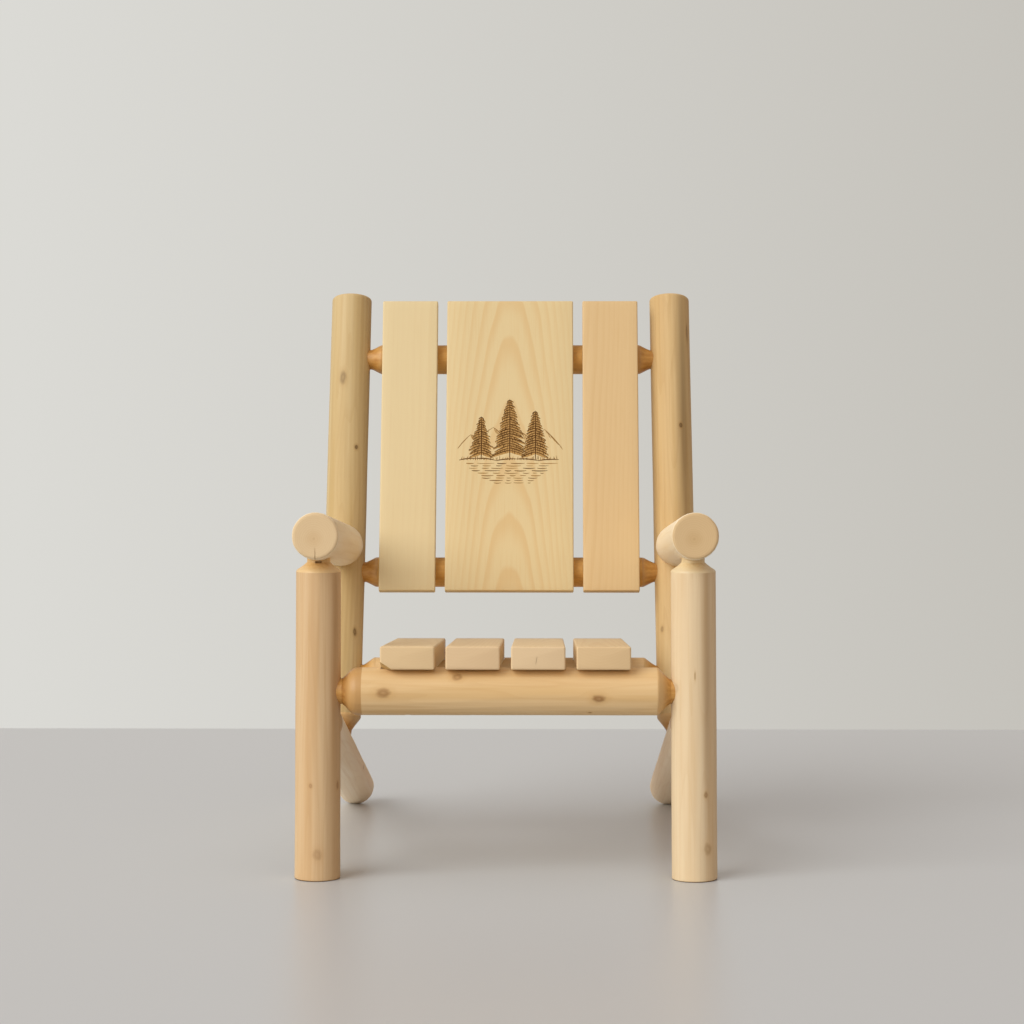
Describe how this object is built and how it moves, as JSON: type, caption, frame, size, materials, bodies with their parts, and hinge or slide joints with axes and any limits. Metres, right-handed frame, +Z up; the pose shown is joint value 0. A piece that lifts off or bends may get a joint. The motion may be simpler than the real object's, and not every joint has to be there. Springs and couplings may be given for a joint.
{
  "type": "log chair",
  "caption": "Low rustic armchair of peeled round logs joined by tapered tenons, with sawn seat slats, a leaning board back and sloping rear legs.",
  "frame": {"origin": "on the floor, in the middle of the chair's width and depth", "axes": "+Z up, the sitter faces -Y, +X to the right as seen from the front"},
  "size_m": [0.6994, 0.89, 0.9892],
  "materials": {
    "peeled_log": "peeled and sanded softwood log, satin",
    "sawn_board": "planed softwood board, satin",
    "zinc_steel": "zinc plated"
  },
  "bodies": {
    "root": {"front_leg_left": "peeled_log", "front_leg_right": "peeled_log", "rear_leg_left": "peeled_log", "rear_leg_right": "peeled_log", "back_post_left": "peeled_log", "back_post_right": "peeled_log", "arm_left": "peeled_log", "arm_right": "peeled_log", "front_seat_rail": "peeled_log", "rear_seat_rail": "peeled_log", "lower_back_rail": "peeled_log", "upper_back_rail": "peeled_log", "seat_slat_1": "sawn_board", "seat_slat_2": "sawn_board", "seat_slat_3": "sawn_board", "seat_slat_4": "sawn_board", "back_board_left": "sawn_board", "back_board_centre": "sawn_board", "back_board_right": "sawn_board", "seat_slat_screws": "zinc_steel", "back_board_screws": "zinc_steel", "rail_lock_screws": "zinc_steel", "arm_lag_screws": "zinc_steel", "arm_lag_washers": "zinc_steel"}
  },
  "joints": []
}
